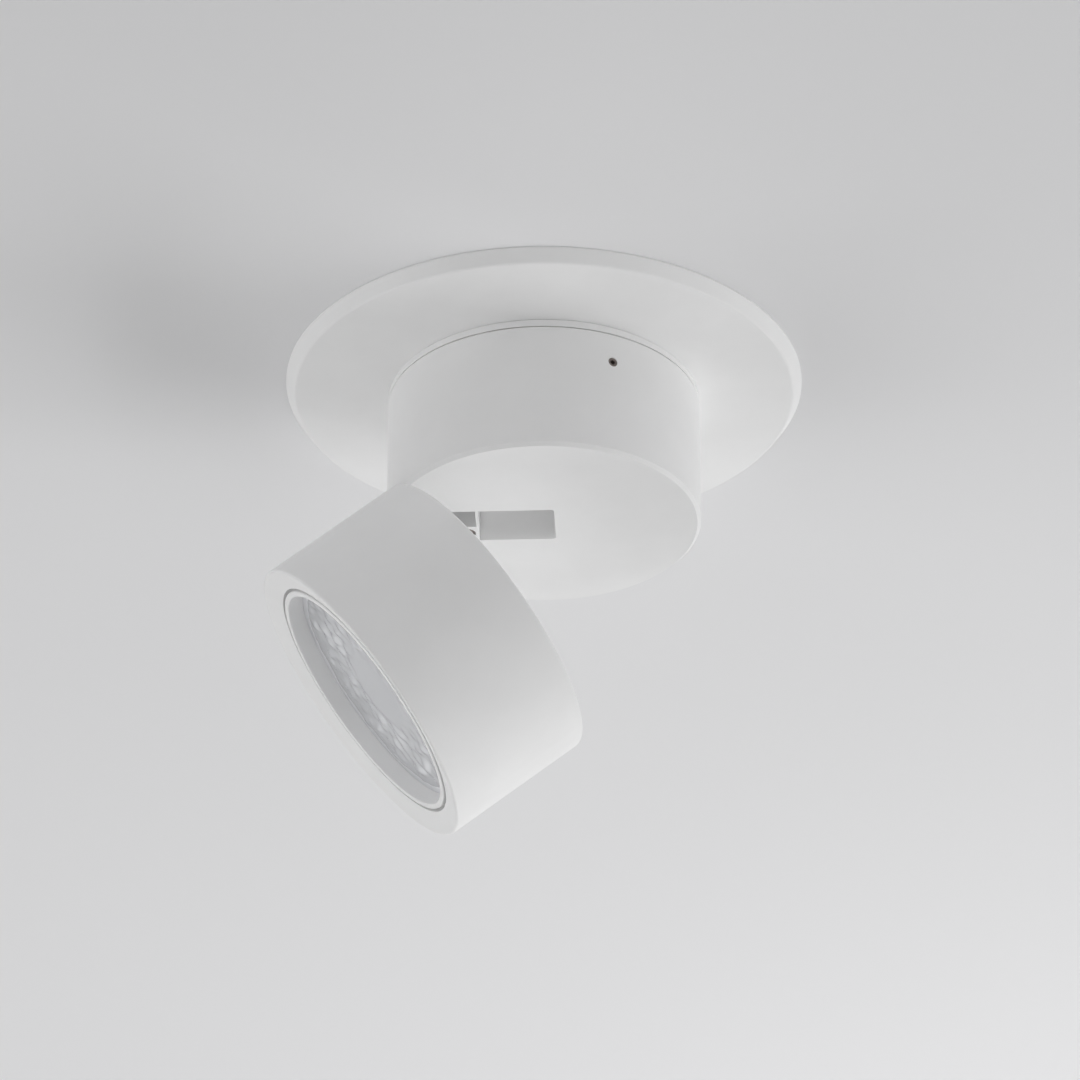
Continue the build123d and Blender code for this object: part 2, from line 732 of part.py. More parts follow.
# Hinge arm: moving knuckle and the foot let into the head's back
with BuildPart() as hinge_arm:
    with BuildSketch(head_side.offset(-arm_y_high)):
        with Locations((pivot_x, pivot_up)):
            Circle(knuckle_d / 2)
        with Locations((arm_x, arm_low)):
            Rectangle(arm_link, arm_link_h, align=(Align.MIN, Align.MIN))
            Rectangle(arm_l, arm_t, align=(Align.MIN, Align.MIN))
    extrude(amount=arm_y_high - arm_y_low)
    with BuildSketch(head_side.offset(-arm_foot_w / 2)):
        with Locations((foot_x, arm_low)):
            Rectangle(arm_foot_l, arm_t, align=(Align.MIN, Align.MIN))
    extrude(amount=arm_foot_w)
    with BuildSketch(head_side.offset(-arm_y_high)):
        with Locations((pivot_x, pivot_up)):
            Circle(pin_d / 2 + pin_run)
    extrude(amount=arm_y_high - arm_y_low, mode=Mode.SUBTRACT)
    with Locations(head_back.offset(arm_top)):
        with Locations((arm_screw_x, 0)):
            with GridLocations(0, arm_screw_spacing, 1, 2):
                CounterSinkHole(
                    radius=arm_screw_d / 2 + hole_play,
                    counter_sink_radius=arm_screw_head_d / 2 + hole_play,
                    depth=arm_t,
                )
hinge_arm.part.label = "hinge_arm"
export_step(hinge_arm.part, "parts/hinge_arm.step")

# Arm screws: countersunk, flush with the foot
arm_head_h = (arm_screw_head_d - arm_screw_d) / 2
with BuildPart() as arm_screws:
    for side in (-1, 1):
        screw_side = head_side.offset(-side * arm_screw_spacing / 2)
        with BuildSketch(screw_side):
            with BuildLine():
                Polyline(
                    (arm_screw_x, arm_top),
                    (arm_screw_x + arm_screw_head_d / 2, arm_top),
                    (arm_screw_x + arm_screw_d / 2, arm_top - arm_head_h),
                    (arm_screw_x + arm_screw_d / 2, arm_top - arm_screw_l),
                    (arm_screw_x, arm_top - arm_screw_l),
                    close=True,
                )
            make_face()
        screw_foot = screw_side.from_local_coords((arm_screw_x, 0, 0))
        revolve(axis=Axis(screw_foot, head_back.z_dir))
    with BuildSketch(head_back.offset(arm_top)):
        with Locations((arm_screw_x, 0)):
            with GridLocations(0, arm_screw_spacing, 1, 2):
                RegularPolygon(arm_screw_d * 0.33, 6, major_radius=False)
    extrude(amount=-arm_head_h, mode=Mode.SUBTRACT)
arm_screws.part.label = "arm_screws"
export_step(arm_screws.part, "parts/arm_screws.step")

# Rear grommet: bush where the lead enters the head's back
with BuildPart() as rear_grommet:
    with BuildSketch(head_back):
        with Locations((lead_x, 0)):
            Circle(lead_hole_d / 2 - thread_play)
    extrude(amount=sink_z)
    with BuildSketch(head_back):
        with Locations((lead_x, 0)):
            Circle(lead_flange_d / 2)
    extrude(amount=lead_flange_t)
    with BuildSketch(head_back.offset(lead_flange_t)):
        with Locations((lead_x, 0)):
            Circle(lead_bore_d / 2)
    extrude(amount=sink_z - lead_flange_t, mode=Mode.SUBTRACT)
rear_grommet.part.label = "rear_grommet"
export_step(rear_grommet.part, "parts/rear_grommet.step")

# Heat sink: plate on the head's back wall, round post for the board, radial fins round the post
fin_l = (sink_d - post_d) / 2 - fin_edge
with BuildPart() as heat_sink:
    with BuildSketch(head_back.offset(sink_z)):
        Circle(sink_d / 2)
    extrude(amount=-sink_t)
    with BuildSketch(head_back.offset(post_z)):
        Circle(post_d / 2)
        with PolarLocations(post_d / 2 - fin_edge, fin_count):
            Rectangle(fin_l + fin_edge, fin_t, align=(Align.MIN, Align.CENTER))
    extrude(amount=-post_h)
    with BuildSketch(head_back.offset(sink_z)):
        with Locations((lead_x, 0)):
            Circle(sink_lead_d / 2)
        with PolarLocations(sink_screw_r, 3, start_angle=sink_screw_angle):
            Circle(sink_screw_d / 2 + hole_play)
    extrude(amount=-sink_t - post_h, mode=Mode.SUBTRACT)
heat_sink.part.label = "heat_sink"
export_step(heat_sink.part, "parts/heat_sink.step")

# Heat sink screws: between the fins, into the head's back wall
with BuildPart() as heat_sink_screws:
    with BuildSketch(head_back.offset(post_z)):
        with PolarLocations(sink_screw_r, 3, start_angle=sink_screw_angle):
            Circle(sink_screw_head_d / 2)
    extrude(amount=-sink_screw_head_h)
    with BuildSketch(head_back.offset(post_z)):
        with PolarLocations(sink_screw_r, 3, start_angle=sink_screw_angle):
            Circle(sink_screw_d / 2)
    extrude(amount=sink_t + sink_screw_in)
heat_sink_screws.part.label = "heat_sink_screws"
export_step(heat_sink_screws.part, "parts/heat_sink_screws.step")

# LED board: metal-core disc on the post
with BuildPart() as led_board:
    with BuildSketch(head_back.offset(board_z)):
        Circle(board_d / 2)
        with Locations((lead_x, 0)):
            Circle(board_lead_d / 2, mode=Mode.SUBTRACT)
    extrude(amount=-board_t)
led_board.part.label = "led_board"
export_step(led_board.part, "parts/led_board.step")

# Emitter package: ceramic square on the board
with BuildPart() as cob_package:
    with BuildSketch(head_back.offset(cob_z)):
        Rectangle(cob_w, cob_w)
    extrude(amount=-cob_t)
cob_package.part.label = "cob_package"
export_step(cob_package.part, "parts/cob_package.step")

# Emitter phosphor: round light-emitting face on the package
with BuildPart() as cob_phosphor:
    with BuildSketch(head_back.offset(phosphor_z)):
        Circle(phosphor_d / 2)
    extrude(amount=-phosphor_t)
cob_phosphor.part.label = "cob_phosphor"
export_step(cob_phosphor.part, "parts/cob_phosphor.step")

# Reflector: thin cone from the emitter out to the lens, with a flat rim behind the lens
with BuildPart() as reflector:
    with BuildSketch(head_side):
        with BuildLine():
            Polyline(
                (reflector_throat_d / 2, phosphor_z),
                (reflector_mouth_r, lens_back),
                (lens_r, lens_back),
                (lens_r, lens_back + reflector_rim_t),
                (reflector_mouth_r + reflector_wall, lens_back + reflector_rim_t),
                (reflector_throat_d / 2 + 2 * reflector_wall, phosphor_z),
                close=True,
            )
        make_face()
    revolve(axis=head_axis)
reflector.part.label = "reflector"
export_step(reflector.part, "parts/reflector.step")

# Lens: clear disc, set back in the head's front
with BuildPart() as lens:
    with BuildSketch(head_back.offset(lens_back)):
        Circle(lens_r)
    extrude(amount=-lens_t)
lens.part.label = "lens"
export_step(lens.part, "parts/lens.step")

# Bezel ring: screws into the head's bore and clamps the lens; its front lip leaves a fine gap all round
with BuildPart() as bezel_ring:
    with BuildSketch(head_side):
        with BuildLine():
            Polyline(
                (bezel_r - bezel_w, lens_z),
                (bezel_r - bezel_w, bezel_z),
                (bezel_r, bezel_z),
                (bezel_r, bezel_z + bezel_lip),
                (head_bore_r - bezel_play, bezel_z + bezel_lip),
                (head_bore_r - bezel_play, lens_z),
                close=True,
            )
        make_face()
    revolve(axis=head_axis)
bezel_ring.part.label = "bezel_ring"
export_step(bezel_ring.part, "parts/bezel_ring.step")
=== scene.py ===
import math

import bpy
import numpy as np
from mathutils import Matrix, Vector


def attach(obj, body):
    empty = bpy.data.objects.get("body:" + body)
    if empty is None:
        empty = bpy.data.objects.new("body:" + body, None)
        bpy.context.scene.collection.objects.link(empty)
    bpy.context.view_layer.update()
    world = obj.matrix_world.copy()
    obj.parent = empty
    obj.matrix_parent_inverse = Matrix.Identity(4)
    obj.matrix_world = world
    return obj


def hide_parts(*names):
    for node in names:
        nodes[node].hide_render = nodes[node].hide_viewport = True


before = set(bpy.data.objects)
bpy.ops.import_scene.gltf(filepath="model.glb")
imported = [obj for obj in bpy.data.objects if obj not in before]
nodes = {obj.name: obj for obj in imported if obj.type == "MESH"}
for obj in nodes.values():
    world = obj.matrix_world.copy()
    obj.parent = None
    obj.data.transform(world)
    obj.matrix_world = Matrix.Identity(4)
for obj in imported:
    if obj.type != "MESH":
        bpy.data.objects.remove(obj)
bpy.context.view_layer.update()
print("frame loaded,", len(nodes), "nodes")

mm = 0.001  # one millimetre in scene units


# Camera, at the photograph's viewing angle: below the light, looking up at the ceiling
cameraSettings = {
    "place": (0.058623, -1.419892, -0.865904),
    "yaw": -0.0420086,
    "pitch": 0.5218166,
    "roll": 0.00034,
    "focalPixels": 6076.23,
    "framePixels": 1080,
    "sensor": 36.0,
    "near": 0.05,
    "far": 50.0,
}


def makeCamera(s):
    cy, sy = math.cos(s["yaw"]), math.sin(s["yaw"])
    cp, sp = math.cos(s["pitch"]), math.sin(s["pitch"])
    cr, sr = math.cos(s["roll"]), math.sin(s["roll"])
    ahead = Vector((sy * cp, cy * cp, sp))
    level = Vector((cy, -sy, 0.0))
    rise = level.cross(ahead)
    right = level * cr + rise * sr
    up = rise * cr - level * sr
    data = bpy.data.cameras.new("photoCamera")
    data.sensor_width = s["sensor"]
    data.lens = s["focalPixels"] / s["framePixels"] * s["sensor"]
    data.clip_start, data.clip_end = s["near"], s["far"]
    cam = bpy.data.objects.new("photoCamera", data)
    bpy.context.scene.collection.objects.link(cam)
    cam.matrix_world = Matrix(
        (
            (right.x, up.x, -ahead.x, s["place"][0]),
            (right.y, up.y, -ahead.y, s["place"][1]),
            (right.z, up.z, -ahead.z, s["place"][2]),
            (0.0, 0.0, 0.0, 1.0),
        )
    )
    bpy.context.scene.camera = cam


makeCamera(cameraSettings)
bpy.context.scene.view_settings.view_transform = "Standard"
print("camera set")


# Node and colour helpers
def hexLinear(code):
    # sRGB hex to linear: c/12.92 below 0.04045, else ((c + 0.055) / 1.055) ** 2.4
    c = np.array([int(code[i : i + 2], 16) for i in (1, 3, 5)]) / 255.0
    lin = np.where(c <= 0.04045, c / 12.92, ((c + 0.055) / 1.055) ** 2.4)
    return (*[float(v) for v in lin], 1.0)


def addNode(tree, kind, settings=None, links=None):
    # keys of settings are attributes or socket names (or socket numbers); links go into sockets
    node = tree.nodes.new(kind)
    for key, value in (settings or {}).items():
        if isinstance(key, int) or key in node.inputs:
            node.inputs[key].default_value = value
        else:
            setattr(node, key, value)
    for key, source in (links or {}).items():
        tree.links.new(source, node.inputs[key])
    return node


def newMaterial(name):
    mat = bpy.data.materials.new(name)
    mat.use_nodes = True
    tree = mat.node_tree
    tree.nodes.clear()
    where = addNode(tree, "ShaderNodeTexCoord")
    out = addNode(tree, "ShaderNodeOutputMaterial")
    return mat, tree, where.outputs["Object"], out


driftSpan = (0.3, 0.7)  # noise values at which a finish has its darker and its lighter colour


def coatedSurface(name, s):
    # One shader for a surface with a fine grain: noise of grainMm wide bumps it, a wider noise of
    # driftMm shifts colour between two hex values and roughness by a little.
    mat, tree, place, out = newMaterial(name)
    drift = addNode(
        tree, "ShaderNodeTexNoise",
        {"Scale": 1 / (s["driftMm"] * mm), "Detail": 3.0, "Roughness": 0.55}, {"Vector": place},
    )
    grain = addNode(
        tree, "ShaderNodeTexNoise",
        {"Scale": 1 / (s["grainMm"] * mm), "Detail": 2.0, "Roughness": 0.5}, {"Vector": place},
    )
    ramp = addNode(tree, "ShaderNodeValToRGB", links={"Fac": drift.outputs["Fac"]})
    for stop, position, code in zip(ramp.color_ramp.elements, driftSpan, (s["dark"], s["light"])):
        stop.position, stop.color = position, hexLinear(code)
    gloss = addNode(
        tree, "ShaderNodeMapRange",
        {"To Min": s["roughness"] - s["roughSpread"], "To Max": s["roughness"] + s["roughSpread"]},
        {"Value": grain.outputs["Fac"]},
    )
    bump = addNode(
        tree, "ShaderNodeBump",
        {"Strength": s["bump"], "Distance": s["bumpMm"] * mm}, {"Height": grain.outputs["Fac"]},
    )
    skin = addNode(
        tree, "ShaderNodeBsdfPrincipled",
        {"Metallic": s.get("metallic", 0.0)},
        {
            "Base Color": ramp.outputs["Color"],
            "Roughness": gloss.outputs["Result"],
            "Normal": bump.outputs["Normal"],
        },
    )
    if "ior" in s:
        skin.inputs["IOR"].default_value = s["ior"]
    tree.links.new(skin.outputs["BSDF"], out.inputs["Surface"])
    return mat


# Finishes, each named for the material and how its surface was made
finishes = {
    # polyester powder coat on die-cast aluminium: matt white with a faint orange peel
    "powderCoatWhite": {
        "dark": "#EFEFEF", "light": "#F4F4F4", "driftMm": 30, "grainMm": 0.9,
        "roughness": 0.55, "roughSpread": 0.06, "bump": 0.25, "bumpMm": 0.012, "ior": 1.5,
    },
    # same coat on folded steel inside the slot
    "powderCoatSteel": {
        "dark": "#EEEEEE", "light": "#F3F3F3", "driftMm": 12, "grainMm": 0.8,
        "roughness": 0.5, "roughSpread": 0.06, "bump": 0.3, "bumpMm": 0.015, "ior": 1.5,
    },
    # bright zinc plate on turned and pressed steel: grey, a little cloudy
    "zincPlatedSteel": {
        "dark": "#A9ADB0", "light": "#C9CCCE", "driftMm": 5, "grainMm": 0.25,
        "roughness": 0.34, "roughSpread": 0.1, "bump": 0.3, "bumpMm": 0.01, "metallic": 1.0,
    },
    # brown-black oxide on hardened screw steel
    "blackOxideSteel": {
        "dark": "#6E6562", "light": "#8E8480", "driftMm": 1.2, "grainMm": 0.2,
        "roughness": 0.42, "roughSpread": 0.1, "bump": 0.4, "bumpMm": 0.01, "metallic": 0.8,
    },
    # closed-cell polyethylene foam, die cut
    "foamDieCut": {
        "dark": "#D4D3CE", "light": "#E6E5E1", "driftMm": 2, "grainMm": 0.4,
        "roughness": 0.9, "roughSpread": 0.05, "bump": 0.8, "bumpMm": 0.08, "ior": 1.45,
    },
    # moulded rubber bush
    "rubberMoulded": {
        "dark": "#161616", "light": "#232323", "driftMm": 3, "grainMm": 0.2,
        "roughness": 0.75, "roughSpread": 0.08, "bump": 0.5, "bumpMm": 0.02, "ior": 1.52,
    },
    # moulded nylon, a little translucent and creamy
    "nylonMoulded": {
        "dark": "#DEDCD4", "light": "#EAE8E2", "driftMm": 6, "grainMm": 0.3,
        "roughness": 0.45, "roughSpread": 0.06, "bump": 0.3, "bumpMm": 0.012, "ior": 1.53,
    },
    # turned brass terminal parts
    "brassTurned": {
        "dark": "#B08D4A", "light": "#CBA765", "driftMm": 3, "grainMm": 0.2,
        "roughness": 0.3, "roughSpread": 0.08, "bump": 0.3, "bumpMm": 0.01, "metallic": 1.0,
    },
    # polycarbonate driver case, spark-eroded mould texture
    "polycarbonateSparked": {
        "dark": "#D8D8D6", "light": "#E4E4E2", "driftMm": 8, "grainMm": 0.35,
        "roughness": 0.6, "roughSpread": 0.06, "bump": 0.6, "bumpMm": 0.03, "ior": 1.58,
    },
    # pressed and blasted aluminium of the heat sink
    "aluminiumBlasted": {
        "dark": "#B4B6B8", "light": "#CDCFD0", "driftMm": 6, "grainMm": 0.25,
        "roughness": 0.45, "roughSpread": 0.08, "bump": 0.5, "bumpMm": 0.015, "metallic": 1.0,
    },
    # white solder mask on a metal-core board
    "solderMaskWhite": {
        "dark": "#E2E3E0", "light": "#EEEFEC", "driftMm": 4, "grainMm": 0.5,
        "roughness": 0.35, "roughSpread": 0.05, "bump": 0.2, "bumpMm": 0.01, "ior": 1.52,
    },
    # sintered alumina of the emitter's carrier
    "aluminaSintered": {
        "dark": "#E6E5E0", "light": "#F0EFEA", "driftMm": 2, "grainMm": 0.2,
        "roughness": 0.6, "roughSpread": 0.05, "bump": 0.3, "bumpMm": 0.01, "ior": 1.7,
    },
    # silicone loaded with phosphor, poured
    "phosphorSilicone": {
        "dark": "#D9B752", "light": "#E8CD74", "driftMm": 1.5, "grainMm": 0.15,
        "roughness": 0.4, "roughSpread": 0.06, "bump": 0.3, "bumpMm": 0.01, "ior": 1.41,
    },
    # vacuum-metallised polycarbonate reflector: bright, a little soft
    "metallisedBright": {
        "dark": "#D2D3D5", "light": "#E2E3E4", "driftMm": 6, "grainMm": 0.4,
        "roughness": 0.3, "roughSpread": 0.04, "bump": 0.2, "bumpMm": 0.01, "metallic": 1.0,
    },
}
looks = {name: coatedSurface(name, s) for name, s in finishes.items()}


# Acrylic of the lens
acrylics = {
    # moulded: bright and partly see-through, with the mould's fine pitting
    "acrylicMoulded": {
        "tint": "#F4F5F8", "roughness": 0.07, "clear": 0.44, "ior": 1.49,
        "pitMm": 0.5, "bump": 0.15, "bumpMm": 0.01,
    },
    # etched: the same moulding dulled at its rim, hardly see-through; its tint is greyer than the moulded
    # face, which is painted shade standing in for the bezel wall's shadow on the lens rim
    "acrylicEtchedPaintedShade": {
        "tint": "#DFE0E3", "roughness": 0.5, "clear": 0.1, "ior": 1.49,
        "pitMm": 0.3, "bump": 0.3, "bumpMm": 0.02,
    },
}


def clearAcrylic(name, s):
    # near-white surface that lets part of the light through; noise of pitMm bumps it
    mat, tree, place, out = newMaterial(name)
    pits = addNode(
        tree, "ShaderNodeTexNoise",
        {"Scale": 1 / (s["pitMm"] * mm), "Detail": 2.0}, {"Vector": place},
    )
    bump = addNode(
        tree, "ShaderNodeBump",
        {"Strength": s["bump"], "Distance": s["bumpMm"] * mm}, {"Height": pits.outputs["Fac"]},
    )
    skin = addNode(
        tree, "ShaderNodeBsdfPrincipled",
        {
            "Base Color": hexLinear(s["tint"]), "Roughness": s["roughness"],
            "IOR": s["ior"], "Transmission Weight": s["clear"],
        },
        {"Normal": bump.outputs["Normal"]},
    )
    tree.links.new(skin.outputs["BSDF"], out.inputs["Surface"])
    return mat


looks.update({name: clearAcrylic(name, s) for name, s in acrylics.items()})
print("finishes made:", len(looks))

nodeLooks = {
    "powderCoatWhite": ["trim_flange", "swivel_base", "drum_shell", "head_housing", "bezel_ring"],
    "powderCoatSteel": ["hinge_bracket", "hinge_arm"],
    "zincPlatedSteel": [
        "ceiling_plate", "base_screws", "stop_pin", "terminal_screws", "hinge_pin", "hinge_washers",
        "driver_screws", "arm_screws", "heat_sink_screws",
    ],
    "blackOxideSteel": ["grub_screws", "bracket_screws"],
    "foamDieCut": ["ceiling_gasket"],
    "rubberMoulded": ["cable_grommet", "rear_grommet"],
    "nylonMoulded": ["glide_ring", "terminal_block"],
    "brassTurned": ["earth_terminal"],
    "polycarbonateSparked": ["driver_case"],
    "aluminiumBlasted": ["heat_sink"],
    "solderMaskWhite": ["led_board"],
    "aluminaSintered": ["cob_package"],
    "phosphorSilicone": ["cob_phosphor"],
    "metallisedBright": ["reflector"],
    "acrylicMoulded": ["lens"],
}
for lookName, names in nodeLooks.items():
    for nodeName in names:
        nodes[nodeName].data.materials.clear()
        nodes[nodeName].data.materials.append(looks[lookName])
print("nodes dressed")


# Lamp head frame: origin in the middle of the head's back, z along its axis, light leaving towards -z
headFrame = {"origin": (-15.7736, 0.0, -71.8406), "tilt": 52.0}


def headPlace(local):
    # millimetres in the head's frame to metres in the scene: a turn by the tilt about +Y, then the shift
    c, s = math.cos(math.radians(headFrame["tilt"])), math.sin(math.radians(headFrame["tilt"]))
    turn = np.array([[c, 0.0, s], [0.0, 1.0, 0.0], [-s, 0.0, c]])
    return (local @ turn.T + np.array(headFrame["origin"])) * mm


def gridMesh(name, grid, ring=False, poles=False):
    # A grid of points (rows, columns, 3) becomes quads; columns always close on themselves. With ring the
    # rows close too; with poles the first and last rows shrink to one point each, joined by triangles.
    rows, cols = grid.shape[:2]
    index = np.arange(rows * cols).reshape(rows, cols)
    verts = grid.reshape(-1, 3)
    if poles:
        body = index[1:-1] - cols + 1
        verts = np.concatenate([grid[0, :1], grid[1:-1].reshape(-1, 3), grid[-1, :1]])
    else:
        body = np.concatenate([index, index[:1]]) if ring else index
    after = np.roll(body, -1, axis=1)
    quads = np.stack([body[:-1], body[1:], after[1:], after[:-1]], -1).reshape(-1, 4)
    tris = np.zeros((0, 3), int)
    if poles:
        last = len(verts) - 1
        start = np.stack([np.zeros(cols, int), body[0], after[0]], -1)
        end = np.stack([np.full(cols, last), after[-1], body[-1]], -1)
        tris = np.concatenate([start, end])
    fans = np.concatenate([quads[:, [0, 1, 2]], quads[:, [0, 2, 3]], tris])
    a, b, c = verts[fans[:, 0]], verts[fans[:, 1]], verts[fans[:, 2]]
    if np.einsum("ij,ij->i", a, np.cross(b, c)).sum() < 0:  # inside out
        quads, tris = quads[:, ::-1], tris[:, ::-1]
    mesh = bpy.data.meshes.new(name)
    mesh.from_pydata(verts.tolist(), [], quads.tolist() + tris.tolist())
    mesh.polygons.foreach_set("use_smooth", np.ones(len(mesh.polygons), bool))
    mesh.update()
    piece = bpy.data.objects.new(name, mesh)
    bpy.context.scene.collection.objects.link(piece)
    return piece


def softCorners(points, radii, steps=5, hold=0.06):
    # A closed outline with each corner replaced by an arc of its radius; a support point stands a short
    # way outside each arc's ends, so that smooth shading leaves the flats flat.
    points, out = np.array(points, float), []
    for i, r in enumerate(radii):
        p, a, b = points[i], points[i - 1], points[(i + 1) % len(points)]
        u, v = (a - p) / np.linalg.norm(a - p), (b - p) / np.linalg.norm(b - p)
        half = math.acos(float(np.clip(u @ v, -1, 1))) / 2
        reach = r / math.tan(half)
        middle = p + (u + v) / np.linalg.norm(u + v) * r / math.sin(half)
        t = np.linspace(0, 1, steps)[:, None]
        start, end = p + u * reach - middle, p + v * reach - middle
        sweep = math.pi - 2 * half
        arc = (np.sin((1 - t) * sweep) * start + np.sin(t * sweep) * end) / math.sin(sweep) + middle
        out += [p + u * (reach + hold), *arc, p + v * (reach + hold)]
    return np.array(out)


def turned(outline, segments):
    # outline (r, z) carried round the z axis: x = r cos a, y = r sin a
    a = np.linspace(0, 2 * math.pi, segments, endpoint=False)
    r, z = outline[:, 0][:, None], outline[:, 1][:, None]
    return np.stack([r * np.cos(a), r * np.sin(a), z + 0 * a], -1)


# Bezel ring: as the solid, with its turned edges broken
bezelSettings = {
    "inner": 33.2, "lip": 34.85, "thread": 35.7, "front": -40.95, "step": -37.95, "seat": -36.2,
    "edge": 0.28, "stepEdge": 0.15, "backEdge": 0.1, "seatEdge": 0.02, "segments": 288,
}


def makeBezel(s):
    outline = softCorners(
        [
            (s["inner"], s["seat"]), (s["inner"], s["front"]),
            (s["lip"], s["front"]), (s["lip"], s["step"]),
            (s["thread"], s["step"]), (s["thread"], s["seat"]),
        ],
        [s[key] for key in ("seatEdge", "edge", "edge", "stepEdge", "stepEdge", "backEdge")],
    )
    piece = gridMesh("bezelRing", headPlace(turned(outline, s["segments"])), ring=True)
    piece.data.materials.append(looks["powderCoatWhite"])
    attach(piece, "head")
    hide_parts("bezel_ring")


makeBezel(bezelSettings)

# Lens: flat disc, its front covered with soft uneven pebbles between a smooth middle and a dulled rim
lensSettings = {
    "radius": 35.2, "front": -36.2, "back": -33.4, "corner": 0.3,
    "pitch": 3.4, "jitter": 0.9, "height": 1.2, "lowest": 0.2, "sunk": 0.55, "spread": 0.36, "seed": 7,
    "smoothMiddle": 11.0, "easeIn": 4.0, "clearRim": 33.4, "easeOut": 4.0, "dullFrom": 31.0,
    "rings": 110, "segments": 432, "rimLand": 0.4, "backRings": (34.0, 24.0, 12.0, 0.0),
    "beyond": (3, 4),  # honeycomb cells past the rim, and further rows, which lie closer
    "batches": 24,  # the points are worked out in parts to save memory
}


def pebbleHeight(x, y, s):
    # sum of soft bumps f exp(-d^2 / (2 c^2)), scaled to a span of 1 that starts at -sunk: their centres
    # are a honeycomb moved about by jitter, c is a share of the pitch, and the heights f are drawn at
    # random between lowest and 1
    p, (cells, rows) = s["pitch"], s["beyond"]
    n = int(s["radius"] / p) + cells
    i, j = np.meshgrid(np.arange(-n, n + 1), np.arange(-n - rows, n + rows + 1))
    centres = np.stack([(i + 0.5 * (j % 2)) * p, j * p * math.sqrt(3) / 2], -1).reshape(-1, 2)
    draw = np.random.default_rng(s["seed"])
    centres = (centres + draw.uniform(-1, 1, centres.shape) * s["jitter"] * p / 2).astype(np.float32)
    tops = draw.uniform(s["lowest"], 1, len(centres)).astype(np.float32)
    flat = np.stack([x.ravel(), y.ravel()], -1).astype(np.float32)
    wide = 2 * (s["spread"] * p) ** 2
    parts = np.array_split(flat, s["batches"])
    bumps = np.concatenate(
        [np.exp(-((part[:, None] - centres) ** 2).sum(-1) / wide) @ tops for part in parts]
    )
    return ((bumps - bumps.min()) / (bumps.max() - bumps.min()) - s["sunk"]).reshape(x.shape)


def makeLens(s):
    # front: z = front - height * fade * pebbles over rings r and angles a, where fade is 0 on the smooth
    # middle and at the rim; then the turned rim and the flat back
    a = np.linspace(0, 2 * math.pi, s["segments"], endpoint=False)
    r = np.linspace(0, s["clearRim"], s["rings"])[:, None]
    x, y = r * np.cos(a), r * np.sin(a)
    fadeOut = np.clip((s["clearRim"] - r) / s["easeOut"], 0, 1)
    fade = fadeOut * np.clip((r - s["smoothMiddle"]) / s["easeIn"], 0, 1)
    front = np.stack([x, y, s["front"] - s["height"] * fade * pebbleHeight(x, y, s)], -1)
    wide, cut = s["radius"], s["corner"]
    edge = [(s["clearRim"] + s["rimLand"], s["front"]), (wide - cut, s["front"]), (wide, s["front"] + cut)]
    edge += [(wide, s["back"] - cut), (wide - cut, s["back"])]
    rimRows = len(edge)
    edge += [(k, s["back"]) for k in s["backRings"]]
    rest = turned(np.array(edge), s["segments"])
    piece = gridMesh("pebbledLens", headPlace(np.concatenate([front, rest])), poles=True)
    piece.data.materials.append(looks["acrylicMoulded"])
    # the rim's material has a greyer tint: painted shade of the bezel wall on the lens rim
    piece.data.materials.append(looks["acrylicEtchedPaintedShade"])
    slots = np.zeros(len(piece.data.polygons), np.int32)
    first = int(np.searchsorted(r[:, 0], s["dullFrom"])) - 1
    last = s["rings"] + rimRows - 2
    slots[first * s["segments"] : last * s["segments"]] = 1  # the rim, round to the back
    piece.data.polygons.foreach_set("material_index", slots)
    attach(piece, "head")
    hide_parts("lens")


makeLens(lensSettings)

# Reflector: thin cone with rows of shallow dimples on its bright side
reflectorSettings = {
    "throat": (9.2, -24.6), "mouth": (32.6, -33.34), "rim": 35.2, "rimBack": -32.4, "wall": 0.7,
    "rows": 10, "columns": 48, "fine": 8, "depth": 0.22, "rimEdge": 0.1, "sharpOver": 40,
}


def makeReflector(s):
    # straight cone from throat to mouth, t from 0 to 1, sunk along its normal by
    # depth * |sin(pi rows t) sin(pi (columns a / 2 pi + lean))|; then the rim and the plain back
    count = s["columns"] * s["fine"]
    a = np.linspace(0, 2 * math.pi, count, endpoint=False)
    (r0, z0), (r1, z1) = s["throat"], s["mouth"]
    t = np.linspace(0, 1, s["rows"] * s["fine"] + 1)[:, None]
    slope = math.hypot(r1 - r0, z1 - z0)
    out = np.array([(z0 - z1) / slope, (r1 - r0) / slope])  # away from the bright side
    lean = (np.floor(t * s["rows"] - 1e-6) % 2) * 0.5  # every other row moved half a dimple
    across = np.sin(math.pi * (a / (2 * math.pi) * s["columns"] + lean))
    dimple = np.abs(np.sin(math.pi * t * s["rows"]) * across)
    r = r0 + (r1 - r0) * t + s["depth"] * dimple * out[0]
    z = z0 + (z1 - z0) * t + s["depth"] * dimple * out[1]
    bright = np.stack([r * np.cos(a), r * np.sin(a), z + 0 * a], -1)
    w, rim, cut = s["wall"], s["rim"], s["rimEdge"]
    back = [(rim - cut, z1), (rim, z1 + cut), (rim, s["rimBack"]), (r1 + w, s["rimBack"])]
    back += [(r0 + 2 * w, z0)]
    grid = np.concatenate([bright, turned(np.array(back), count)])
    piece = gridMesh("dimpledReflector", headPlace(grid), ring=True)
    piece.data.materials.append(looks["metallisedBright"])
    piece.data.set_sharp_from_angle(angle=math.radians(s["sharpOver"]))
    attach(piece, "head")
    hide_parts("reflector")


makeReflector(reflectorSettings)
print("lens, reflector and bezel made")

# Stage: the ceiling, seen from below; from above it lets the view through, it is open behind the flange,
# and it fades into the pale room far from the light
ceilingSettings = {
    "reach": 1.4, "hole": 0.0703, "segments": 256, "above": 0.00005, "paint": "#EDEDEE",
    "fadeFrom": 0.6, "fadeTo": 1.35,
    "rollerMm": 6, "bump": 0.1, "bumpMm": 0.1,  # stipple that a paint roller leaves
}


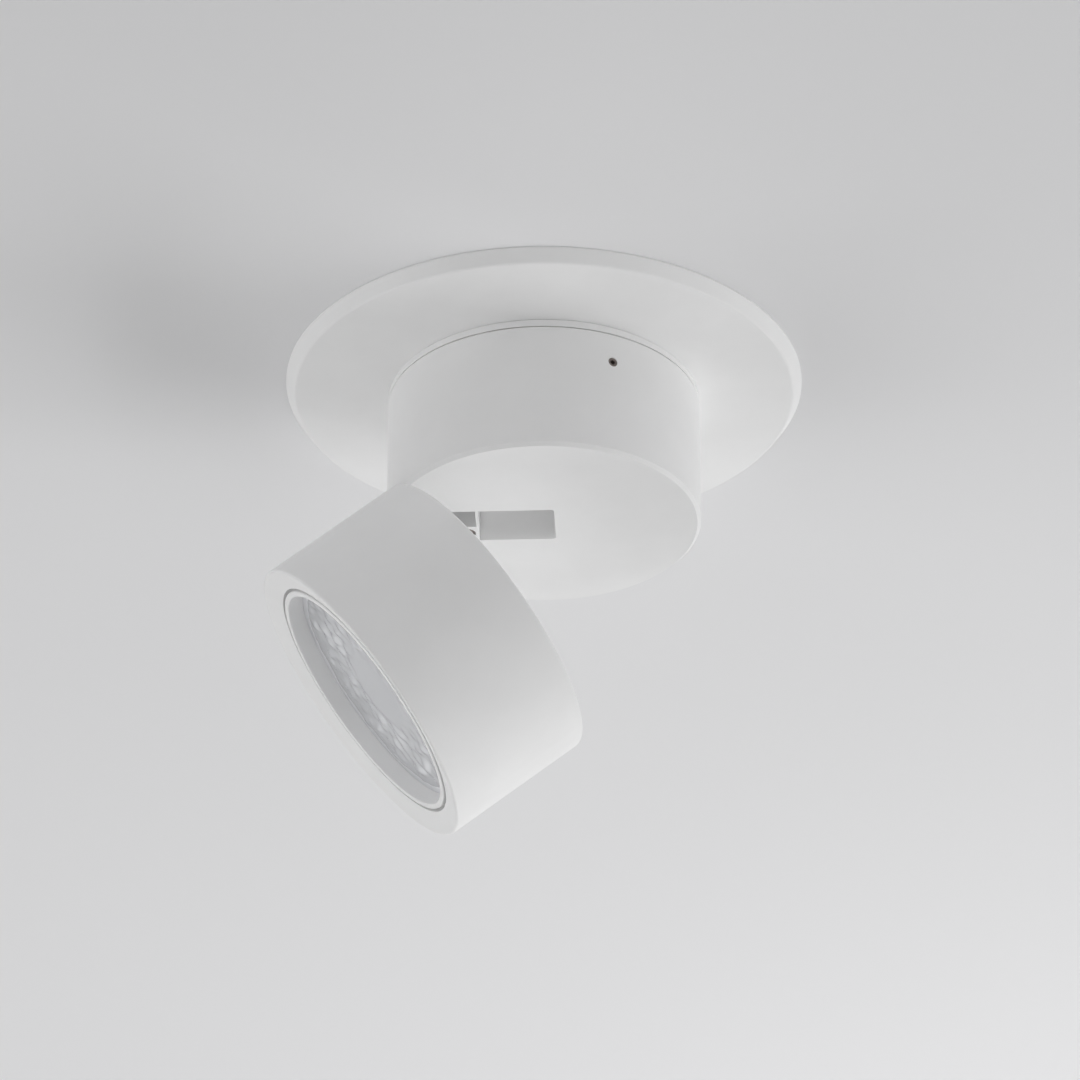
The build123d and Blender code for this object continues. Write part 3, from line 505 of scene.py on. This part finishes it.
def makeCeiling(s):
    # flat ring between two circles: r cos a, r sin a, with r the hole's radius or the reach
    a = np.linspace(0, 2 * math.pi, s["segments"], endpoint=False)
    r = np.array([s["hole"], s["reach"]])[:, None]
    level = np.full((2, len(a)), s["above"])
    verts = np.stack([r * np.cos(a), r * np.sin(a), level], -1).reshape(-1, 3)
    inner = np.arange(len(a))
    outer, after = inner + len(a), np.roll(inner, -1)
    mesh = bpy.data.meshes.new("ceiling")
    faces = np.stack([inner, after, after + len(a), outer], -1)  # looking down
    mesh.from_pydata(verts.tolist(), [], faces.tolist())
    obj = bpy.data.objects.new("ceiling", mesh)
    bpy.context.scene.collection.objects.link(obj)
    mat, tree, place, out = newMaterial("ceilingPaint")
    roller = addNode(
        tree, "ShaderNodeTexNoise",
        {"Scale": 1 / (s["rollerMm"] * mm), "Detail": 3.0}, {"Vector": place},
    )
    bump = addNode(
        tree, "ShaderNodeBump",
        {"Strength": s["bump"], "Distance": s["bumpMm"] * mm}, {"Height": roller.outputs["Fac"]},
    )
    paint = addNode(
        tree, "ShaderNodeBsdfDiffuse",
        {"Color": hexLinear(s["paint"])}, {"Normal": bump.outputs["Normal"]},
    )
    clear = addNode(tree, "ShaderNodeBsdfTransparent")
    side = addNode(tree, "ShaderNodeNewGeometry")
    away = addNode(tree, "ShaderNodeVectorMath", {"operation": "LENGTH"}, {0: place})
    fade = addNode(
        tree, "ShaderNodeMapRange",
        {"interpolation_type": "SMOOTHSTEP", "From Min": s["fadeFrom"], "From Max": s["fadeTo"]},
        {"Value": away.outputs["Value"]},
    )
    through = addNode(
        tree, "ShaderNodeMath", {"operation": "MAXIMUM"},
        {0: side.outputs["Backfacing"], 1: fade.outputs["Result"]},
    )
    mix = addNode(
        tree, "ShaderNodeMixShader",
        links={0: through.outputs[0], 1: paint.outputs["BSDF"], 2: clear.outputs["BSDF"]},
    )
    tree.links.new(mix.outputs["Shader"], out.inputs["Surface"])
    mesh.materials.append(mat)


makeCeiling(ceilingSettings)

# Light: soft panels round the object, below the ceiling, and room light, weak below and stronger above
lightSettings = {
    "aim": (-0.005, 0.0, -0.06),
    "room": {"color": "#FFFFFF", "below": 0.074, "above": 0.55, "seen": "#E6E6E6"},
    "bounces": 12,  # the white slot and recess stay light by many bounces
    "panels": {  # azimuth from +X, degrees below the ceiling, distance, width and height in metres, watts
        "rightStrip": (0, 6, 2.2, 1.4, 0.4, 10.7),
        "frontRightPanel": (300, 20, 2.2, 1.4, 1.4, 2.8),
        "frontRightLowPanel": (330, 62, 2.2, 1.4, 1.4, 5.2),
        "frontLeftStrip": (240, 6, 2.2, 1.4, 0.4, 4.9),
        "frontLeftHighStrip": (245, 1, 2.2, 1.4, 0.18, 3.0),
        "leftPanel": (180, 35, 2.2, 1.4, 1.4, 8.8),
        "leftLowPanel": (180, 62, 2.2, 1.4, 1.4, 4.0),
        "farLeftPanel": (150, 40, 1.2, 0.7, 0.7, 0.9),
        "farLeftStrip": (143, 16, 1.2, 0.9, 0.4, 1.8),  # the glints on the pebbles
        "farPanel": (75, 25, 0.8, 0.5, 0.3, 0.82),
        "farRightPanel": (30, 45, 1.2, 0.7, 0.7, 4.9),
    },
}


def makeLight(s):
    bpy.context.scene.cycles.max_bounces = s["bounces"]
    bpy.context.scene.cycles.diffuse_bounces = s["bounces"]
    aim = Vector(s["aim"])
    for name, (azimuth, below, distance, wide, tall, watts) in s["panels"].items():
        a, e = math.radians(azimuth), math.radians(below)
        away = Vector((math.cos(a) * math.cos(e), math.sin(a) * math.cos(e), -math.sin(e)))
        data = bpy.data.lights.new(name, "AREA")
        data.shape, data.size, data.size_y, data.energy = "RECTANGLE", wide, tall, watts
        lamp = bpy.data.objects.new(name, data)
        lamp.visible_transmission = False  # the panels don't show inside the clear lens
        bpy.context.scene.collection.objects.link(lamp)
        lamp.location = aim + away * distance
        lamp.rotation_mode = "QUATERNION"
        lamp.rotation_quaternion = (-away).to_track_quat("-Z", "Y")
    world = bpy.data.worlds.new("room")
    bpy.context.scene.world = world
    world.use_nodes = True
    tree = world.node_tree
    tree.nodes.clear()
    way = addNode(tree, "ShaderNodeTexCoord")
    split = addNode(tree, "ShaderNodeSeparateXYZ", links={0: way.outputs["Generated"]})
    upward = addNode(
        tree, "ShaderNodeMath", {"operation": "GREATER_THAN", 1: 0.0}, {0: split.outputs["Z"]},
    )
    level = addNode(
        tree, "ShaderNodeMapRange",
        {"To Min": s["room"]["below"], "To Max": s["room"]["above"]}, {"Value": upward.outputs[0]},
    )
    room = addNode(
        tree, "ShaderNodeBackground",
        {"Color": hexLinear(s["room"]["color"])}, {"Strength": level.outputs["Result"]},
    )
    seen = addNode(tree, "ShaderNodeBackground", {"Color": hexLinear(s["room"]["seen"]), "Strength": 1.0})
    path = addNode(tree, "ShaderNodeLightPath")
    mirrored = addNode(
        tree, "ShaderNodeMath", {"operation": "MAXIMUM"},
        {0: path.outputs["Is Glossy Ray"], 1: path.outputs["Is Transmission Ray"]},
    )
    direct = addNode(
        tree, "ShaderNodeMath", {"operation": "MAXIMUM"},
        {0: path.outputs["Is Camera Ray"], 1: mirrored.outputs[0]},
    )
    mix = addNode(
        tree, "ShaderNodeMixShader",
        links={0: direct.outputs[0], 1: room.outputs[0], 2: seen.outputs[0]},
    )
    addNode(tree, "ShaderNodeOutputWorld", links={"Surface": mix.outputs[0]})


makeLight(lightSettings)
print("stage and light set")
